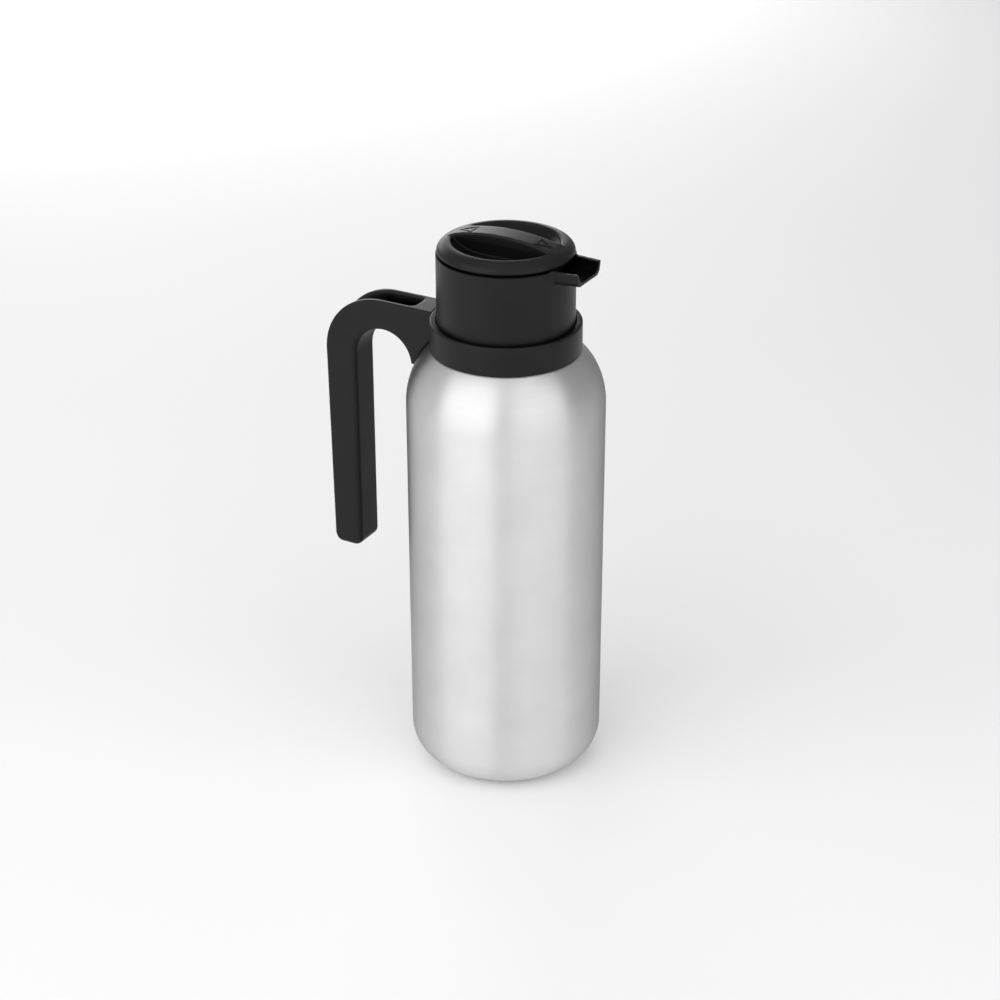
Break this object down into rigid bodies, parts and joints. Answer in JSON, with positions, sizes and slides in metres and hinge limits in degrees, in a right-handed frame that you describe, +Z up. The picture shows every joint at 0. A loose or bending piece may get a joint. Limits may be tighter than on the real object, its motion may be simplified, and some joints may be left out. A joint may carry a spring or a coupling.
{
  "type": "thermal coffee server",
  "caption": "Tall vacuum-insulated steel coffee server with a black side handle, a short pouring spout and a twist stopper with a grip bar.",
  "frame": {"origin": "centre of the base pad's underside, on the bottle's axis", "axes": "+Z up along the bottle's axis, +X towards the spout, -X towards the handle"},
  "size_m": [0.1445, 0.096, 0.2803],
  "materials": {
    "body_steel": "fine satin brushed",
    "inner_steel": "plain bright",
    "foil": "thin bright foil",
    "getter": "sintered grey",
    "black_plastic": "satin moulded polypropylene",
    "inner_plastic": "moulded polypropylene",
    "silicone": "matt silicone",
    "foam": "foamed insulation",
    "screw_steel": "zinc plated"
  },
  "bodies": {
    "bottle": {"outer_shell": "body_steel", "inner_liner": "inner_steel", "liner_bottom": "inner_steel", "radiation_foil": "foil", "base_plate": "inner_steel", "vacuum_seal_button": "inner_steel", "getter_pill": "getter", "base_pad": "silicone", "collar": "black_plastic", "handle": "black_plastic", "handle_screw_left": "screw_steel", "handle_screw_right": "screw_steel", "spout_head": "black_plastic", "mouth_gasket": "silicone"},
    "stopper": {"stopper_insert": "inner_plastic", "insert_seal": "silicone"},
    "knob": {"knob_cap": "black_plastic", "knob_plate": "inner_plastic", "insulation_puck": "foam", "drive_stem": "inner_plastic", "stem_screw": "screw_steel", "retaining_clip": "screw_steel"},
    "valve": {"valve_plunger": "inner_plastic", "valve_seal": "silicone", "seal_retainer": "inner_plastic"}
  },
  "joints": [
    {"name": "stopper_lift_off", "type": "slide", "parent": "bottle", "child": "stopper", "axis": [0, 0, 1], "range_m": [0, 0.09]},
    {"name": "knob_twist", "type": "hinge", "parent": "stopper", "child": "knob", "pos_m": [0, 0, 0.2586], "axis": [0, 0, 1], "range_deg": [-90, 0]},
    {"name": "valve_close", "type": "slide", "parent": "stopper", "child": "valve", "axis": [0, 0, 1], "range_m": [0, 0.0041]}
  ],
  "couplings": [
    {"joint": "valve_close", "follows": "knob_twist", "m_per_rad": -0.0025465}
  ]
}
